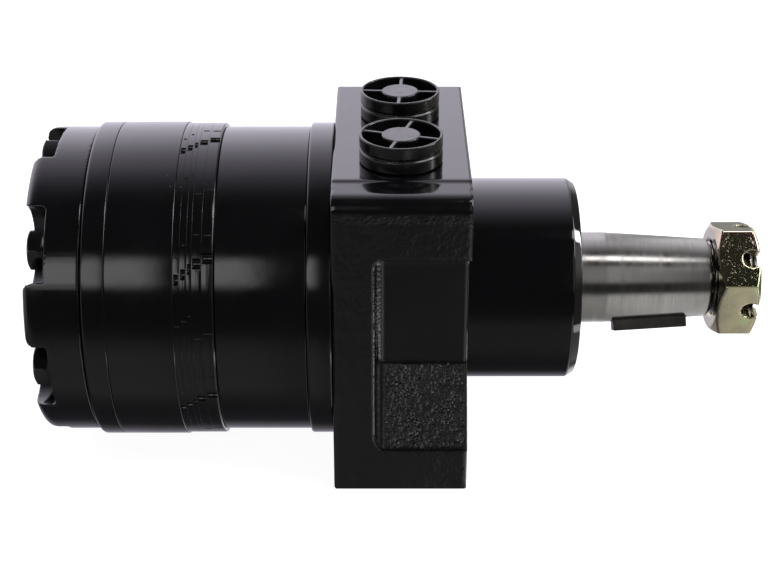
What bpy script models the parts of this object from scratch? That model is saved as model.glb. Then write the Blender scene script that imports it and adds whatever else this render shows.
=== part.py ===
"""Hydraulic motor: an orbiting roller motor with two plugged ports and a keyed, tapered output shaft.

Distances are metres. The shaft axis runs along world X and the ports face +Z. Pieces are placed in
the motor's own frame, whose origin is on the shaft axis at the rear face of the housing flange:
"along" grows towards the shaft end, "back" away from the pocketed front side, and "up" to the ports.
"""

import math

import bmesh
import bpy
from mathutils import Matrix, Vector

MM = 0.001
GAP = 0.3 * MM
# How far a cutter runs past the faces that it cuts
CLEAR = 5 * MM
ROUND = 32
SEAL_ROUND = 24
SMALL_ROUND = 16
HOLE_SIDES = 8

# Stations along the shaft axis
REAR_FACE = -99.7 * MM
COMMUTATOR_RING_START = -80.3 * MM
MANIFOLD_BODY_START = -72.6 * MM
PLATES_START = -50.6 * MM
STATOR_START = -37.6 * MM
WEAR_PLATE_START = -8.1 * MM
FLANGE_THICKNESS = 14 * MM
BLOCK_LENGTH = 45.1 * MM
NOSE_END = 83 * MM
SHAFT_END = 146.4 * MM

# Housing
BLOCK_HALF_WIDTH = 49.5 * MM
PORT_FACE_HEIGHT = 53.2 * MM
AXIS_HEIGHT = 56.9 * MM
MACHINED_FRONT = -36.65 * MM
CAST_STEP = 0.5 * MM
CAST_CORNER = 5 * MM
FOOT_CORNER = 2 * MM
POCKET_WALL = 35.1 * MM
POCKET_CEILING = 30.5 * MM
POCKET_CREASE = -14.4 * MM
POCKET_FALL = 1.8
POCKET_CORNER = 8 * MM
POCKET_FILLET = 4 * MM
NOSE_RADIUS = 35 * MM
NOSE_FACE_RADIUS = 33.4 * MM
NOSE_SHOULDER_RADIUS = 34.4 * MM
NOSE_SHOULDER = 82.1 * MM
NOSE_CHAMFER_START = 80.3 * MM
NOSE_ROOT = 40 * MM
CAVITY_RADIUS = 27.8 * MM
CAVITY_END = 23.7 * MM
RACE_BORE_RADIUS = 26.3 * MM
RACE_BORE_END = 63.7 * MM
SEAL_BORE_RADIUS = 24.3 * MM
SEAL_BORE_END = 74.2 * MM
NECK_RADIUS = 18 * MM
NECK_END = 76.2 * MM
DUST_BORE_RADIUS = 22.5 * MM

# Ports and mounting holes
PORT_ALONG = 22.55 * MM
PORT_BACK = 20.2 * MM
PORT_RADIUS = 11.1 * MM
PORT_FLOOR = 38 * MM
PASSAGE_ALONG = 16 * MM
PASSAGE_TOP = 40 * MM
FRONT_PASSAGE_BACK = -22.2 * MM
FRONT_PASSAGE_RADIUS = 3 * MM
FRONT_PASSAGE_END = 6 * MM
BACK_PASSAGE_FLOOR = 18 * MM
BACK_PASSAGE_RADIUS = 4.5 * MM
MOUNT_BACK = 38 * MM
MOUNT_UP = 42 * MM
MOUNT_HOLE_RADIUS = 4.2 * MM
MOUNT_HOLE_DEPTH = 18 * MM

# Ring stack and its bolts
COVER_RADIUS = 53 * MM
RING_RADIUS = 54.7 * MM
BOLT_COUNT = 7
BOLT_STEP = 360 / BOLT_COUNT
BOLT_CIRCLE = 44.5 * MM
BOLT_HOLE_RADIUS = 4.3 * MM
BOLT_RADIUS = 3.97 * MM
BOLT_HEAD_ACROSS_FLATS = 12.7 * MM
BOLT_HEAD_TOP = -98.3 * MM
BOLT_SEAT = -92.4 * MM
BOLT_END = 11 * MM
BOLT_HOLE_END = 12.5 * MM
RECESS_RADIUS = 14.2 * MM
RIM_DEPTH = 5.4 * MM
RIM_INSET = 3 * MM
COMMUTATOR_RING_CHAMFER = 2.5 * MM
COMMUTATOR_RING_BORE = 37.6 * MM
MANIFOLD_BORE = 15.5 * MM
PLATE_THICKNESSES = (2.2 * MM, 2.2 * MM, 1.6 * MM, 3.2 * MM, 3.8 * MM)
PLATE_RADIUS = 54.3 * MM
PLATE_BORE = 15.2 * MM
LAST_PLATE_CHAMFER = 1.2 * MM
WEAR_PLATE_RADIUS = 54.4 * MM
WEAR_PLATE_BORE = 14.5 * MM
WEAR_PLATE_CHAMFER = 1 * MM
OIL_CIRCLE = 24 * MM
OIL_HOLE_RADIUS = 3 * MM
OIL_SLOT = (6 * MM, 5 * MM)
OIL_SLOT_STEP_DEG = 2
NOTCH_WIDTH = 3.5 * MM
NOTCH_DEPTH = 1.1 * MM
NOTCH_FIRST_DEG = 12.7
NOTCH_STEP_DEG = -1.83
GROOVE_OUTER = 52 * MM
HOUSING_GROOVE_OUTER = 38.8 * MM
GROOVE_WIDTH = 2.4 * MM
GROOVE_DEPTH = 1.6 * MM

# Rotor set and drive line
ECCENTRICITY = 3.3 * MM
ROLLER_CIRCLE = 35 * MM
ROLLER_RADIUS = 6.35 * MM
ROTOR_TO_ROLLER = 6.75 * MM
STATOR_BORE = 35.6 * MM
ROLLER_SEAT_RADIUS = 6.75 * MM
ROTOR_START = STATOR_START + 0.1 * MM
ROTOR_END = WEAR_PLATE_START - 0.4 * MM
ROTOR_MIDDLE = (ROTOR_START + ROTOR_END) / 2
LINK_PIVOT = 32 * MM
LINK_REACH = LINK_PIVOT - ROTOR_MIDDLE
LINK_TILT = math.atan(ECCENTRICITY / LINK_REACH)
LINK_SHANK_RADIUS = 8 * MM
LINK_NOSE_RADIUS = 7 * MM
LINK_NOSE_END = -79.5 * MM
LINK_HEAD = 8 * MM
LINK_CROWN = 0.5 * MM
SPLINE_TEETH = 10
SPLINE_BORE = 10.6 * MM
SPLINE_GROOVE_RADIUS = 12.4 * MM
SPLINE_GROOVE_WIDTH = 4 * MM
SPLINE_TIP_RADIUS = 11.5 * MM
SPLINE_ROOT_RADIUS = 9.8 * MM
SPLINE_SPACE_WIDTH = 4.2 * MM
COMMUTATOR_MIDDLE = -76.6 * MM
COMMUTATOR_RADIUS = 30.5 * MM
COMMUTATOR_SEAL_OUTER = 27 * MM
COMMUTATOR_SEAL_INNER = 24 * MM
COMMUTATOR_SEAL_DEPTH = 2.2 * MM
COMMUTATOR_OFFSET = ECCENTRICITY * (LINK_PIVOT - COMMUTATOR_MIDDLE) / LINK_REACH

# Output shaft, its key and nut
SHAFT_RADIUS = 15.875 * MM
JOURNAL_RADIUS = 20 * MM
SHAFT_FLANGE_RADIUS = 25.5 * MM
SHAFT_REAR = 12 * MM
JOURNAL_START = 17 * MM
JOURNAL_END = 62.5 * MM
TAPER_START = 93.9 * MM
TAPER_END = 130.2 * MM
TAPER = 1 / 16
THREAD_RADIUS = 12.7 * MM
SOCKET_MOUTH_RADIUS = 13 * MM
SOCKET_MOUTH_END = 20 * MM
SOCKET_END = 46 * MM
KEY_START = 97.4 * MM
KEY_LENGTH = 25.4 * MM
KEY_SIZE = 7.94 * MM
KEY_PROUD = 3.2 * MM
KEY_DEG = 153
NUT_START = 131.6 * MM
NUT_END = 146.2 * MM
NUT_ACROSS_FLATS = 36.5 * MM
NUT_CORNER_DEG = 12.9
NUT_SLOT_WIDTH = 6.3 * MM
NUT_SLOT_START = 140 * MM

# Bearings
RACE_INNER = 24.2 * MM
RACE_LENGTH = 16 * MM
RACE_STARTS = {"rear": 25 * MM, "front": 45 * MM}
NEEDLE_COUNT = 14
CAGE_RADIUS = 22.6 * MM
NEEDLE_OUTER = 23.9 * MM
THRUST_OUTER = 25.6 * MM
THRUST_INNER = 20.6 * MM
THRUST_THICKNESS = 3 * MM
THRUST_WASHER_OUTER = 27.4 * MM

# Shaft seals
WASHER_START = 66 * MM
WASHER_THICKNESS = 1.6 * MM
SEAL_COLLAR_RADIUS = 17.2 * MM

# Port plugs
PLUG_RADIUS = 13.65 * MM
PLUG_HEIGHT = 9.4 * MM
PLUG_WELL_DEPTH = 6 * MM
PLUG_FLOOR = 2 * MM
PLUG_RIM_INNER = 12.5 * MM
PLUG_HUB_RADIUS = 6.3 * MM
PLUG_HUB_DROP = 0.3 * MM
PLUG_SPOKE_WIDTH = 1.4 * MM
PLUG_SPOKE_DROP = 0.6 * MM
PLUG_GROOVE_LOW = 3.9 * MM
PLUG_GROOVE_WIDTH = 1 * MM
PLUG_GROOVE_DEPTH = 0.9 * MM
PLUG_SHANK_RADIUS = 10.6 * MM
PLUG_SHANK_INNER = 8.6 * MM
PLUG_SHANK_DEPTH = 12 * MM
PLUG_TURNS = {"front": 17, "rear": 3}


def clear_scene():
    for thing in list(bpy.data.objects):
        bpy.data.objects.remove(thing, do_unlink=True)


def collection(name):
    made = bpy.data.collections.new(name)
    bpy.context.scene.collection.children.link(made)
    return made


def material(name, colour, roughness, metallic=0.0):
    made = bpy.data.materials.new(name)
    made.use_nodes = True
    shader = made.node_tree.nodes["Principled BSDF"]
    shader.inputs["Base Color"].default_value = (*colour, 1)
    shader.inputs["Roughness"].default_value = roughness
    shader.inputs["Metallic"].default_value = metallic
    return made


clear_scene()
PARTS = collection("hydraulic_motor")
CUTTERS = collection("cutters")
AXIS = bpy.data.objects.new("motor_axis", None)
PARTS.objects.link(AXIS)
AXIS.location = (-(REAR_FACE + SHAFT_END) / 2, 0, AXIS_HEIGHT)
# The axis empty turns its children's local Z along the shaft, their X down and their Y back.
AXIS.rotation_euler = (0, math.radians(90), 0)
# Port plugs stand upright, so their frame isn't turned along the shaft.
PLUG_FRAME = bpy.data.objects.new("port_axes", None)
PARTS.objects.link(PLUG_FRAME)
PLUG_FRAME.location = AXIS.location

PAINT = material("black_paint", (0.012, 0.012, 0.016), 0.25)
STEEL = material("machined_steel", (0.62, 0.62, 0.62), 0.3, 1.0)
DARK_STEEL = material("black_oxide_steel", (0.05, 0.05, 0.055), 0.4, 1.0)
BEARING_STEEL = material("bearing_steel", (0.7, 0.7, 0.72), 0.2, 1.0)
ZINC = material("yellow_zinc", (0.45, 0.4, 0.25), 0.35, 1.0)
RUBBER = material("seal_rubber", (0.02, 0.02, 0.02), 0.8)
PLASTIC = material("black_plastic", (0.01, 0.01, 0.01), 0.35)


def spot(along, radius=0.0, deg=0.0):
    """A point at an angle from straight up, turning towards the front of the motor."""
    turn = math.radians(deg)
    return Vector((-radius * math.cos(turn), -radius * math.sin(turn), along))


def around(deg):
    """The turn about the shaft axis that carries straight up to this angle."""
    return Matrix.Rotation(math.radians(deg), 4, "Z")


def add(name, mesh, finish=None, parent=None, at=(0, 0, 0), turn=(0, 0, 0)):
    """Links a mesh as a part when it has a finish, and as a hidden cutter when it has none."""
    thing = bpy.data.objects.new(name, mesh)
    (PARTS if finish else CUTTERS).objects.link(thing)
    thing.parent = parent or AXIS
    thing.location = at
    thing.rotation_euler = turn
    if finish:
        if not mesh.materials:
            mesh.materials.append(finish)
    else:
        thing.hide_render = True
        thing.display_type = "WIRE"
    return thing


def turned(name, outline, finish=None, steps=ROUND, **place):
    """A turned piece. The outline is (radius, along) points, from the shaft end down the outer side."""
    mesh = bpy.data.meshes.new(name)
    count = len(outline)
    on_axis = outline[0][0] == 0 and outline[-1][0] == 0
    edges = [(i, (i + 1) % count) for i in range(count - on_axis)]
    mesh.from_pydata([(radius, 0, along) for radius, along in outline], edges, [])
    thing = add(name, mesh, finish, **place)
    screw = thing.modifiers.new("turn", "SCREW")
    screw.steps = steps
    screw.render_steps = steps
    screw.use_merge_vertices = True
    screw.merge_threshold = 0.01 * MM
    return thing


def ring(outer, inner, start, end):
    return [(outer, end), (outer, start), (inner, start), (inner, end)]


def drill(name, holes, sides=HOLE_SIDES):
    """A cutter of round rods, each from one point to another with a radius."""
    shape = bmesh.new()
    for first, last, radius in holes:
        first, last = Vector(first), Vector(last)
        middle = Matrix.Translation((first + last) / 2)
        aim = (last - first).to_track_quat("Z", "Y").to_matrix().to_4x4()
        bmesh.ops.create_cone(
            shape,
            cap_ends=True,
            segments=sides,
            radius1=radius,
            radius2=radius,
            depth=(last - first).length,
            matrix=middle @ aim,
        )
    return add(name, finished(shape, name))


def boxes(name, size, frames, finish=None, **place):
    """Boxes of one size (down, back, along), each at a frame."""
    shape = bmesh.new()
    for frame in frames:
        bmesh.ops.create_cube(shape, size=1, matrix=frame @ Matrix.Diagonal((*size, 1)))
    return add(name, finished(shape, name), finish, **place)


def finished(shape, name):
    bmesh.ops.recalc_face_normals(shape, faces=shape.faces)
    mesh = bpy.data.meshes.new(name)
    shape.to_mesh(mesh)
    shape.free()
    return mesh


def prism(name, outline, start, end, finish=None, **place):
    """A flat outline of (back, up) points, carried along the shaft axis from start to end."""
    curve = bpy.data.curves.new(name, "CURVE")
    curve.dimensions = "2D"
    curve.fill_mode = "BOTH"
    curve.extrude = (end - start) / 2
    spline = curve.splines.new("POLY")
    spline.points.add(len(outline) - 1)
    spline.use_cyclic_u = True
    for point, (back, up) in zip(spline.points, outline):
        point.co = (-up, back, 0, 1)
    guide = bpy.data.objects.new(name, curve)
    CUTTERS.objects.link(guide)
    bpy.context.view_layer.update()
    evaluated = guide.evaluated_get(bpy.context.evaluated_depsgraph_get())
    flat = bpy.data.meshes.new_from_object(evaluated)
    shape = bmesh.new()
    shape.from_mesh(flat)
    bmesh.ops.remove_doubles(shape, verts=shape.verts, dist=0.001 * MM)
    bmesh.ops.translate(shape, verts=shape.verts, vec=(0, 0, (start + end) / 2))
    bpy.data.objects.remove(guide, do_unlink=True)
    bpy.data.curves.remove(curve)
    bpy.data.meshes.remove(flat)
    return add(name, finished(shape, name), finish, **place)


def combine(thing, operation, *others):
    for other in others:
        step = thing.modifiers.new(other.name, "BOOLEAN")
        step.operation = operation
        step.solver = "EXACT"
        step.object = other


def cut(thing, *cutters):
    combine(thing, "DIFFERENCE", *cutters)


def join(thing, *others):
    combine(thing, "UNION", *others)


def settled_mesh(thing):
    """The mesh of a piece after its modifiers, for copies to share. The piece itself is removed."""
    bpy.context.view_layer.update()
    evaluated = thing.evaluated_get(bpy.context.evaluated_depsgraph_get())
    mesh = bpy.data.meshes.new_from_object(evaluated)
    bpy.data.objects.remove(thing, do_unlink=True)
    return mesh


def arc(centre_back, centre_up, radius, first_deg, last_deg, pieces):
    """Points (back, up) on an arc, with angles from straight back turning up."""
    points = []
    for i in range(pieces + 1):
        turn = math.radians(first_deg + (last_deg - first_deg) * i / pieces)
        points.append((centre_back + radius * math.cos(turn), centre_up + radius * math.sin(turn)))
    return points


def bolt_spots():
    return [BOLT_STEP * i for i in range(BOLT_COUNT)]


def roller_spots():
    return [BOLT_STEP * (i + 0.5) for i in range(BOLT_COUNT)]


def spline_grooves(name, start, end, width, inner, outer, **place):
    size = (outer - inner, width, end - start)
    middle = spot((start + end) / 2, (outer + inner) / 2)
    frames = [around(360 * i / SPLINE_TEETH) @ Matrix.Translation(middle) for i in range(SPLINE_TEETH)]
    return boxes(name, size, frames, **place)


BOLT_HOLES = drill(
    "bolt_holes",
    [
        (spot(REAR_FACE, BOLT_CIRCLE, deg), spot(BOLT_HOLE_END, BOLT_CIRCLE, deg), BOLT_HOLE_RADIUS)
        for deg in bolt_spots()
    ],
)


def block_outline():
    low, high = -AXIS_HEIGHT, PORT_FACE_HEIGHT
    side, cast = BLOCK_HALF_WIDTH, PORT_FACE_HEIGHT - CAST_STEP
    points = [(side, high), (MACHINED_FRONT, high), (MACHINED_FRONT, cast)]
    points += arc(-side + CAST_CORNER, cast - CAST_CORNER, CAST_CORNER, 90, 180, 4)
    points += arc(-side + FOOT_CORNER, low + FOOT_CORNER, FOOT_CORNER, 180, 270, 2)
    points += arc(side - FOOT_CORNER, low + FOOT_CORNER, FOOT_CORNER, 270, 360, 2)
    return points


def pocket_outline(inset):
    """Points (back, up) round a side pocket: its sloping floor, its flat wall and its rounded ceiling."""
    mouth = BLOCK_HALF_WIDTH + CLEAR
    wall, ceiling, corner = POCKET_WALL + inset, POCKET_CEILING - inset, POCKET_CORNER - inset
    crease = POCKET_CREASE + inset * (math.hypot(1, POCKET_FALL) - POCKET_FALL)
    floor = [(mouth, crease - POCKET_FALL * (mouth - wall)), (wall, crease)]
    return floor + arc(wall + corner, ceiling - corner, corner, 180, 90, 4) + [(mouth, ceiling)]


def side_pocket(name, side):
    """The pocket in one side of the port block, with a fillet where it meets the flange."""
    sections = [(BLOCK_LENGTH + CLEAR, 0)]
    for i in range(4):
        turn = math.radians(30 * i)
        along = FLANGE_THICKNESS + POCKET_FILLET * (1 - math.sin(turn))
        sections.append((along, POCKET_FILLET * (1 - math.cos(turn))))
    shape = bmesh.new()
    rows = []
    for along, inset in sections:
        points = pocket_outline(inset)
        rows.append([shape.verts.new((-up, side * back, along)) for back, up in points])
    for row, following in zip(rows, rows[1:]):
        for i in range(len(row)):
            shape.faces.new([row[i - 1], row[i], following[i], following[i - 1]])
    shape.faces.new(rows[0])
    shape.faces.new(rows[-1])
    bmesh.ops.triangulate(shape, faces=shape.faces)
    return add(name, finished(shape, name))


def at_port(back, up):
    """A point level with the ports, in the shaft axis frame."""
    return (-up, back, PORT_ALONG)


def make_housing():
    housing = prism("housing", block_outline(), 0, BLOCK_LENGTH, PAINT)
    nose = turned(
        "nose",
        [
            (0, NOSE_END),
            (NOSE_FACE_RADIUS, NOSE_END),
            (NOSE_SHOULDER_RADIUS, NOSE_SHOULDER),
            (NOSE_RADIUS, NOSE_CHAMFER_START),
            (NOSE_RADIUS, NOSE_ROOT),
            (0, NOSE_ROOT),
        ],
    )
    bore = turned(
        "housing_bore",
        [
            (0, NOSE_END + CLEAR),
            (DUST_BORE_RADIUS, NOSE_END + CLEAR),
            (DUST_BORE_RADIUS, NECK_END),
            (NECK_RADIUS, NECK_END),
            (NECK_RADIUS, SEAL_BORE_END),
            (SEAL_BORE_RADIUS, SEAL_BORE_END),
            (SEAL_BORE_RADIUS, RACE_BORE_END),
            (RACE_BORE_RADIUS, RACE_BORE_END),
            (RACE_BORE_RADIUS, CAVITY_END),
            (CAVITY_RADIUS, CAVITY_END),
            (CAVITY_RADIUS, -CLEAR),
            (0, -CLEAR),
        ],
    )
    groove_inner = HOUSING_GROOVE_OUTER - GROOVE_WIDTH
    groove = turned("housing_seal_groove", ring(HOUSING_GROOVE_OUTER, groove_inner, -CLEAR, GROOVE_DEPTH))
    above = PORT_FACE_HEIGHT + CLEAR
    ports = drill(
        "ports",
        [
            (at_port(side * PORT_BACK, above), at_port(side * PORT_BACK, PORT_FLOOR), PORT_RADIUS)
            for side in (-1, 1)
        ],
        SMALL_ROUND,
    )
    back_top = (-PASSAGE_TOP, PORT_BACK, PASSAGE_ALONG)
    back_floor = (-BACK_PASSAGE_FLOOR, PORT_BACK, PASSAGE_ALONG)
    front_top = (-PASSAGE_TOP, FRONT_PASSAGE_BACK, PASSAGE_ALONG)
    bolt_gallery = spot(FRONT_PASSAGE_END, BOLT_CIRCLE, BOLT_STEP)
    passages = drill(
        "port_passages",
        [(back_top, back_floor, BACK_PASSAGE_RADIUS), (front_top, bolt_gallery, FRONT_PASSAGE_RADIUS)],
    )
    mount_holes = drill(
        "mount_holes",
        [
            (
                (up * MOUNT_UP, back * MOUNT_BACK, BLOCK_LENGTH - MOUNT_HOLE_DEPTH),
                (up * MOUNT_UP, back * MOUNT_BACK, BLOCK_LENGTH + CLEAR),
                MOUNT_HOLE_RADIUS,
            )
            for up in (-1, 1)
            for back in (-1, 1)
        ],
        12,
    )
    cut(housing, side_pocket("front_pocket", -1), side_pocket("back_pocket", 1))
    join(housing, nose)
    cut(housing, bore, groove, ports, passages, mount_holes, BOLT_HOLES)


def stack_ring(name, outer, inner, start, end, rear_chamfer=0.0, front_chamfer=0.0, groove=True):
    """A ring of the bolted stack. Its rear face holds the groove of the seal behind it."""
    end -= GAP
    outline = [(outer, end)]
    if front_chamfer:
        outline = [(outer - front_chamfer, end), (outer, end - front_chamfer)]
    if rear_chamfer:
        outline += [(outer, start + rear_chamfer), (outer - rear_chamfer * 0.6, start)]
    else:
        outline.append((outer, start))
    if groove:
        floor = start + GROOVE_DEPTH
        inside = GROOVE_OUTER - GROOVE_WIDTH
        outline += [(GROOVE_OUTER, start), (GROOVE_OUTER, floor), (inside, floor), (inside, start)]
    outline += [(inner, start), (inner, end)]
    made = turned(name, outline, PAINT)
    cut(made, BOLT_HOLES)
    return made


def make_end_cover():
    outline = [(0, COMMUTATOR_RING_START - GAP), (COVER_RADIUS, COMMUTATOR_RING_START - GAP)]
    for i in range(4):
        turn = math.radians(30 * i)
        radius = COVER_RADIUS - RIM_INSET * (1 - math.cos(turn))
        outline.append((radius, REAR_FACE + RIM_DEPTH * (1 - math.sin(turn))))
    cover = turned("end_cover", outline + [(0, REAR_FACE)], PAINT)
    recesses = drill(
        "bolt_recesses",
        [
            (spot(BOLT_SEAT, BOLT_CIRCLE, deg), spot(REAR_FACE - CLEAR, BOLT_CIRCLE, deg), RECESS_RADIUS)
            for deg in bolt_spots()
        ],
        SMALL_ROUND,
    )
    cut(cover, recesses, BOLT_HOLES)


def through_holes(name, start, end, circle, radius, sides):
    """Holes through a ring at the rollers' angles."""
    low, high = start - CLEAR, end + CLEAR
    holes = [(spot(low, circle, deg), spot(high, circle, deg), radius) for deg in roller_spots()]
    return drill(name, holes, sides)


def make_rings():
    stack_ring(
        "commutator_ring",
        RING_RADIUS,
        COMMUTATOR_RING_BORE,
        COMMUTATOR_RING_START,
        MANIFOLD_BODY_START,
        rear_chamfer=COMMUTATOR_RING_CHAMFER,
    )
    body = stack_ring("manifold_body", RING_RADIUS, MANIFOLD_BORE, MANIFOLD_BODY_START, PLATES_START)
    oil_holes = through_holes(
        "manifold_holes", MANIFOLD_BODY_START, PLATES_START, OIL_CIRCLE, OIL_HOLE_RADIUS, 6
    )
    cut(body, oil_holes)
    stator = stack_ring("stator_ring", COVER_RADIUS, STATOR_BORE, STATOR_START, WEAR_PLATE_START)
    pockets = through_holes(
        "roller_pockets", STATOR_START, WEAR_PLATE_START, ROLLER_CIRCLE, ROLLER_SEAT_RADIUS, SMALL_ROUND
    )
    cut(stator, pockets)
    stack_ring(
        "wear_plate",
        WEAR_PLATE_RADIUS,
        WEAR_PLATE_BORE,
        WEAR_PLATE_START,
        0,
        rear_chamfer=WEAR_PLATE_CHAMFER,
    )


def make_manifold_plates():
    """Five brazed plates: their edge marks and their oil slots turn a little from plate to plate."""
    start = PLATES_START
    for i, thickness in enumerate(PLATE_THICKNESSES):
        last = i == len(PLATE_THICKNESSES) - 1
        plate = stack_ring(
            f"manifold_plate_{i + 1}",
            PLATE_RADIUS,
            PLATE_BORE,
            start,
            start + thickness,
            front_chamfer=LAST_PLATE_CHAMFER if last else 0.0,
            groove=False,
        )
        shift = NOTCH_FIRST_DEG + NOTCH_STEP_DEG * i
        middle = start + thickness / 2
        notches = boxes(
            f"plate_{i + 1}_notches",
            (2 * NOTCH_DEPTH, NOTCH_WIDTH, 2 * thickness),
            [around(shift + deg) @ Matrix.Translation(spot(middle, PLATE_RADIUS)) for deg in bolt_spots()],
        )
        slots = boxes(
            f"plate_{i + 1}_slots",
            (*OIL_SLOT, 2 * thickness),
            [
                around(deg + OIL_SLOT_STEP_DEG * i) @ Matrix.Translation(spot(middle, OIL_CIRCLE))
                for deg in roller_spots()
            ],
        )
        cut(plate, notches, slots)
        start += thickness


def make_body_seals():
    starts = (COMMUTATOR_RING_START, MANIFOLD_BODY_START, STATOR_START, WEAR_PLATE_START, 0.0)
    for i, start in enumerate(starts):
        groove = HOUSING_GROOVE_OUTER if start == 0 else GROOVE_OUTER
        outline = ring(groove - GAP, groove - GROOVE_WIDTH + 2 * GAP, start, start + GROOVE_DEPTH - GAP)
        turned(f"body_seal_{i + 1}", outline, RUBBER, steps=SEAL_ROUND)


def make_bolts():
    shape = bmesh.new()
    head_middle = Matrix.Translation((0, 0, (BOLT_HEAD_TOP + BOLT_SEAT - GAP) / 2))
    corner = BOLT_HEAD_ACROSS_FLATS / 2 / math.cos(math.radians(30))
    bmesh.ops.create_cone(
        shape,
        cap_ends=True,
        segments=6,
        radius1=corner,
        radius2=corner,
        depth=BOLT_SEAT - GAP - BOLT_HEAD_TOP,
        matrix=head_middle,
    )
    head = add("bolt_head", finished(shape, "bolt_head"), PAINT)
    chamfer = turned(
        "head_chamfer",
        [
            (0, BOLT_SEAT + 1 * MM),
            (corner + 1 * MM, BOLT_SEAT + 1 * MM),
            (corner + 1 * MM, BOLT_HEAD_TOP + 1.3 * MM),
            (corner - 1.3 * MM, BOLT_HEAD_TOP),
            (0, BOLT_HEAD_TOP),
        ],
        steps=12,
    )
    tip = 1 * MM
    root = BOLT_SEAT - 2 * MM
    shank = turned(
        "shank",
        [
            (0, BOLT_END),
            (BOLT_RADIUS - tip, BOLT_END),
            (BOLT_RADIUS, BOLT_END - tip),
            (BOLT_RADIUS, root),
            (0, root),
        ],
        steps=12,
    )
    combine(head, "INTERSECT", chamfer)
    join(head, shank)
    mesh = settled_mesh(head)
    for i, deg in enumerate(bolt_spots()):
        turn = (0, 0, math.radians(deg + 30))
        add(f"assembly_bolt_{i + 1}", mesh, PAINT, at=spot(0, BOLT_CIRCLE, deg), turn=turn)


def make_rollers():
    start, end, edge = ROTOR_START, ROTOR_END, 0.5 * MM
    outline = [
        (0, end),
        (ROLLER_RADIUS - edge, end),
        (ROLLER_RADIUS, end - edge),
        (ROLLER_RADIUS, start + edge),
        (ROLLER_RADIUS - edge, start),
        (0, start),
    ]
    mesh = settled_mesh(turned("roller", outline, BEARING_STEEL, steps=12))
    for i, deg in enumerate(roller_spots()):
        add(f"roller_{i + 1}", mesh, BEARING_STEEL, at=spot(0, ROLLER_CIRCLE, deg))


def rotor_outline():
    """The curve that stays in touch with all seven rollers while its centre orbits the shaft axis."""
    points = []
    count = 16 * (BOLT_COUNT - 1)
    for i in range(count):
        t = 2 * math.pi * i / count
        lobes = (1 - BOLT_COUNT) * t
        lean = math.atan2(math.sin(lobes), ROLLER_CIRCLE / (ECCENTRICITY * BOLT_COUNT) - math.cos(lobes))
        down = ROLLER_CIRCLE * math.cos(t) - ROTOR_TO_ROLLER * math.cos(t + lean)
        down -= ECCENTRICITY * math.cos(BOLT_COUNT * t)
        back = -ROLLER_CIRCLE * math.sin(t) + ROTOR_TO_ROLLER * math.sin(t + lean)
        back += ECCENTRICITY * math.sin(BOLT_COUNT * t)
        points.append((back, -down))
    return points


def make_rotor():
    centre = (ECCENTRICITY, 0, 0)
    rotor = prism("rotor", rotor_outline(), ROTOR_START, ROTOR_END, BEARING_STEEL, at=centre)
    hole = turned(
        "rotor_bore",
        [(0, 0), (SPLINE_BORE, 0), (SPLINE_BORE, STATOR_START - CLEAR), (0, STATOR_START - CLEAR)],
        steps=SMALL_ROUND,
        at=centre,
    )
    grooves = spline_grooves(
        "rotor_spline",
        STATOR_START - CLEAR,
        0,
        SPLINE_GROOVE_WIDTH,
        SPLINE_BORE - 2 * MM,
        SPLINE_GROOVE_RADIUS,
        at=centre,
    )
    cut(rotor, hole, grooves)


def make_drive_link():
    """A dog-bone shaft, tilted so that one splined head sits in the shaft and the other in the rotor."""
    head, crown = LINK_HEAD, LINK_CROWN
    front, rear, nose = 0.0, -LINK_REACH, LINK_NOSE_END - LINK_PIVOT
    outline = [(0, front + head), (SPLINE_TIP_RADIUS - 3 * crown, front + head)]
    for centre in (front, rear):
        outline += [
            (SPLINE_TIP_RADIUS - crown, centre + head - 1 * MM),
            (SPLINE_TIP_RADIUS, centre),
            (SPLINE_TIP_RADIUS - crown, centre - head),
            (LINK_SHANK_RADIUS, centre - head - 2 * MM),
        ]
        if centre == front:
            outline.append((LINK_SHANK_RADIUS, rear + head + 1 * MM))
    outline += [(LINK_NOSE_RADIUS, rear - head - 6 * MM), (LINK_NOSE_RADIUS, nose + 1 * MM)]
    outline += [(LINK_NOSE_RADIUS - 1 * MM, nose), (0, nose)]
    place = {"at": (0, 0, LINK_PIVOT), "turn": (0, -LINK_TILT, 0)}
    link = turned("drive_link", outline, STEEL, steps=SMALL_ROUND, **place)
    for name, centre in (("front", front), ("rear", rear)):
        spaces = spline_grooves(
            f"link_{name}_spaces",
            centre - head - 3 * MM,
            centre + head + 3 * MM,
            SPLINE_SPACE_WIDTH,
            SPLINE_ROOT_RADIUS,
            SPLINE_TIP_RADIUS + 2 * MM,
            **place,
        )
        # Half a pitch puts the link's teeth where the sockets have their grooves.
        spaces.rotation_euler = (Matrix.Rotation(-LINK_TILT, 4, "Y") @ around(180 / SPLINE_TEETH)).to_euler()
        cut(link, spaces)


def make_commutator():
    start, end = COMMUTATOR_RING_START + 0.1 * MM, MANIFOLD_BODY_START - 0.4 * MM
    centre = (COMMUTATOR_OFFSET, 0, 0)
    floor = start + COMMUTATOR_SEAL_DEPTH
    hole = LINK_NOSE_RADIUS + 0.5 * MM
    outline = [
        (COMMUTATOR_RADIUS, end),
        (COMMUTATOR_RADIUS, start),
        (COMMUTATOR_SEAL_OUTER, start),
        (COMMUTATOR_SEAL_OUTER, floor),
        (COMMUTATOR_SEAL_INNER, floor),
        (COMMUTATOR_SEAL_INNER, start),
        (hole, start),
        (hole, end),
    ]
    turned("commutator", outline, BEARING_STEEL, at=centre)
    seal = ring(COMMUTATOR_SEAL_OUTER - GAP, COMMUTATOR_SEAL_INNER + GAP, start, floor - GAP)
    turned("commutator_seal", seal, RUBBER, steps=SEAL_ROUND, at=centre)


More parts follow.
